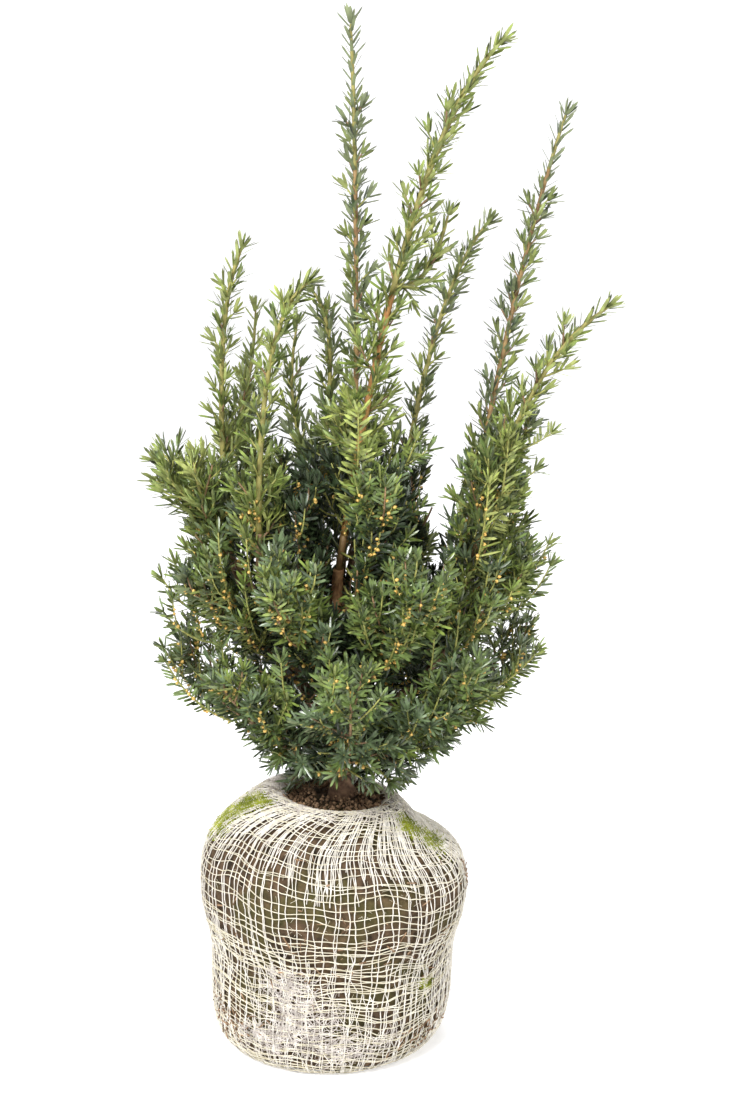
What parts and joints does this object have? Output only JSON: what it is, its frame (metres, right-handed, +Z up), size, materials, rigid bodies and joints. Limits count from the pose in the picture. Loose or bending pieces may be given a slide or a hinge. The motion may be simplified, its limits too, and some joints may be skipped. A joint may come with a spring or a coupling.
{
  "type": "japanese yew shrub on a net-wrapped root ball",
  "caption": "Young evergreen shrub with several tall leaders over a dense low crown, standing on a round root ball wrapped in netting.",
  "frame": {"origin": "on the root ball's flat underside, which it stands on, near the middle of it", "axes": "+Z up along the shrub, -Y towards its front, +X to its right as seen from the front"},
  "size_m": [0.364, 0.2828, 0.8269],
  "materials": {
    "netted_soil": "matte",
    "bark": "matte",
    "old_needles": "satin",
    "young_needles": "satin"
  },
  "bodies": {
    "root": {"back_arching_leader_foliage": "old_needles", "back_leader_foliage": "old_needles", "back_left_leader_foliage": "old_needles", "bough_back": "bark", "bough_back_arching": "bark", "bough_back_left": "bark", "bough_front_arching": "bark", "bough_left": "bark", "bough_left_low": "bark", "bough_right_arching": "bark", "bough_right_back": "bark", "bough_tall_right": "bark", "bough_tallest": "bark", "collar_1_foliage": "old_needles", "collar_2_foliage": "old_needles", "collar_3_foliage": "old_needles", "collar_4_foliage": "old_needles", "front_arching_leader_foliage": "young_needles", "left_leader_foliage": "old_needles", "left_low_leader_foliage": "old_needles", "main_leader_foliage": "young_needles", "right_arching_leader_foliage": "young_needles", "right_back_leader_foliage": "old_needles", "root_ball": "netted_soil", "skirt_1_foliage": "old_needles", "skirt_2_foliage": "old_needles", "skirt_3_foliage": "old_needles", "skirt_4_foliage": "old_needles", "skirt_5_foliage": "old_needles", "skirt_6_foliage": "old_needles", "skirt_7_foliage": "old_needles", "skirt_8_foliage": "old_needles", "tall_right_leader_foliage": "old_needles", "tallest_leader_foliage": "old_needles", "trunk": "bark", "waist_1_foliage": "old_needles", "waist_2_foliage": "old_needles", "waist_3_foliage": "old_needles", "waist_4_foliage": "old_needles", "waist_5_foliage": "old_needles", "waist_6_foliage": "old_needles", "waist_7_foliage": "old_needles", "waist_8_foliage": "old_needles"}
  },
  "joints": []
}
